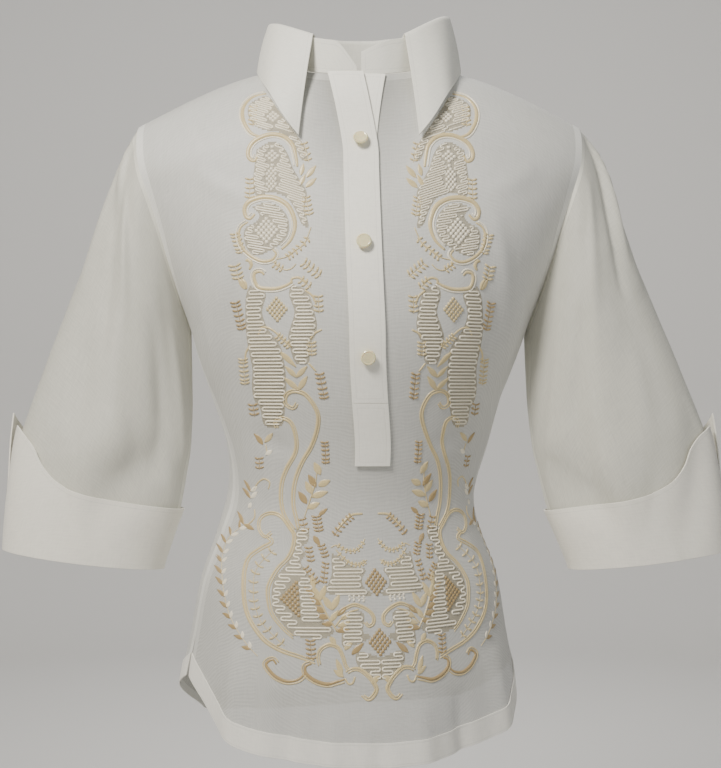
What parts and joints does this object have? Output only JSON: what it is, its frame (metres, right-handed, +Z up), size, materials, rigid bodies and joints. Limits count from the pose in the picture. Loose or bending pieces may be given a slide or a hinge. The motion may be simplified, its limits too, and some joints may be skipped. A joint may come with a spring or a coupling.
{
  "type": "barong tagalog blouse",
  "caption": "Ladies' barong tagalog blouse in sheer ivory organza with beige scroll embroidery, half placket, spread collar, three-quarter sleeves and turn-back cuffs.",
  "frame": {"origin": "between the two neck points, at their level: the middle of the shoulder line, where the blouse is held", "axes": "+X runs across the shoulders towards the viewer's right, the front faces -Y, +Z points up"},
  "size_m": [0.6724, 0.2508, 0.6722],
  "materials": {
    "front_organza": "matt woven cloth",
    "back_organza": "matt woven cloth",
    "sleeve_left_organza": "matt woven cloth",
    "sleeve_right_organza": "matt woven cloth",
    "cuff_left_cloth": "matt woven cloth",
    "cuff_right_cloth": "matt woven cloth",
    "collar_stand_cloth": "matt woven cloth",
    "collar_leaf_cloth": "matt woven cloth",
    "placket_under_cloth": "matt woven cloth",
    "placket_over_cloth": "matt woven cloth",
    "placket_box_cloth": "matt woven cloth",
    "hem_front_cloth": "matt woven cloth",
    "hem_back_cloth": "matt woven cloth",
    "button": "pearly gloss"
  },
  "bodies": {
    "root": {"front_panel": "front_organza", "back_panel": "back_organza", "sleeve_left": "sleeve_left_organza", "sleeve_right": "sleeve_right_organza", "cuff_left": "cuff_left_cloth", "cuff_right": "cuff_right_cloth", "collar_stand": "collar_stand_cloth", "collar_leaf": "collar_leaf_cloth", "placket_under": "placket_under_cloth", "placket_over": "placket_over_cloth", "placket_box": "placket_box_cloth", "hem_front": "hem_front_cloth", "hem_back": "hem_back_cloth", "button_1": "button", "button_2": "button", "button_3": "button"}
  },
  "joints": []
}
